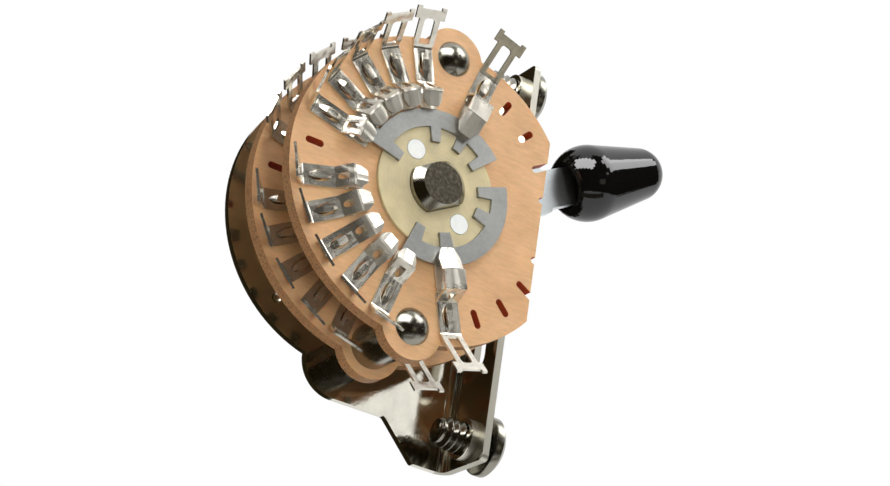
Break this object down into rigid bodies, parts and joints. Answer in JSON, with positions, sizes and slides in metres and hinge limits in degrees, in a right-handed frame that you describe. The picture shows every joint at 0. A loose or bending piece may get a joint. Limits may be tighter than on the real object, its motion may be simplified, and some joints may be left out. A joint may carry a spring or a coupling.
{
  "type": "guitar pickup selector switch",
  "caption": "Lever-operated rotary wafer switch on a bent steel mounting frame, with a black rounded lever tip, laminate wafers and fanned solder lugs.",
  "frame": {"origin": "midway between the two mounting screws, on the outer face of the mounting flange", "axes": "+Z leaves the flange on the lever's side, +X runs along the lever slot from one screw to the other, +Y runs along the shaft from the front wafer to the frame plate; metres"},
  "size_m": [0.0478, 0.0221, 0.0523],
  "materials": {
    "plated_steel": "bright plated sheet steel, brushed and slightly rippled",
    "laminate": "tan paper-phenolic laminate with a fine grain, satin",
    "rivet_steel": "polished nickel plating",
    "spacer_steel": "nickel plated tube, satin",
    "screw_steel": "polished nickel plating",
    "shaft_steel": "dark sheared end, satin flats",
    "lever_steel": "light grey zinc plating, satin",
    "tip_plastic": "black, glossy moulding",
    "rotor_plastic": "translucent ivory moulding, satin",
    "pin_plastic": "white moulding, satin",
    "contact_metal": "silver plated contact strip, matte with bright sheared edges",
    "terminal_metal": "tinned contact strip, shiny",
    "detent_steel": "zinc plated, satin",
    "ball_steel": "polished bearing ball",
    "spring_steel": "hardened strip, satin",
    "washer_steel": "nickel plated, satin",
    "ring_steel": "dark phosphated spring steel"
  },
  "bodies": {
    "base": {"frame": "plated_steel", "front_wafer": "laminate", "rear_wafer": "laminate", "upper_tie_rivet": "rivet_steel", "lower_tie_rivet": "rivet_steel", "upper_front_spacer": "spacer_steel", "lower_front_spacer": "spacer_steel", "upper_rear_spacer": "spacer_steel", "lower_rear_spacer": "spacer_steel", "upper_mounting_screw": "screw_steel", "lower_mounting_screw": "screw_steel", "front_common_upper": "terminal_metal", "front_common_lower": "terminal_metal", "rear_common_upper": "terminal_metal", "rear_common_lower": "terminal_metal", "front_throw_upper_1": "terminal_metal", "front_throw_upper_2": "terminal_metal", "front_throw_upper_3": "terminal_metal", "front_throw_upper_4": "terminal_metal", "front_throw_upper_5": "terminal_metal", "front_throw_lower_1": "terminal_metal", "front_throw_lower_2": "terminal_metal", "front_throw_lower_3": "terminal_metal", "front_throw_lower_4": "terminal_metal", "front_throw_lower_5": "terminal_metal", "rear_throw_upper_1": "terminal_metal", "rear_throw_upper_2": "terminal_metal", "rear_throw_upper_3": "terminal_metal", "rear_throw_upper_4": "terminal_metal", "rear_throw_upper_5": "terminal_metal", "rear_throw_lower_1": "terminal_metal", "rear_throw_lower_2": "terminal_metal", "rear_throw_lower_3": "terminal_metal", "rear_throw_lower_4": "terminal_metal", "rear_throw_lower_5": "terminal_metal"},
    "lever": {"shaft": "shaft_steel", "lever_blade": "lever_steel", "lever_tip": "tip_plastic", "front_rotor": "rotor_plastic", "front_rotor_back": "rotor_plastic", "rear_rotor": "rotor_plastic", "rear_rotor_back": "rotor_plastic", "front_rotor_pins": "pin_plastic", "rear_rotor_pins": "pin_plastic", "front_upper_plate": "contact_metal", "front_lower_plate": "contact_metal", "rear_upper_plate": "contact_metal", "rear_lower_plate": "contact_metal", "ball_carrier": "detent_steel", "detent_balls": "ball_steel", "detent_spring": "spring_steel", "hub_spacer": "detent_steel", "shaft_washer": "washer_steel", "retaining_ring": "ring_steel"}
  },
  "joints": [
    {"name": "lever_turn", "type": "hinge", "parent": "base", "child": "lever", "pos_m": [0, 0, -0.0149], "axis": [0, 1, 0], "range_deg": [0, 60]}
  ]
}
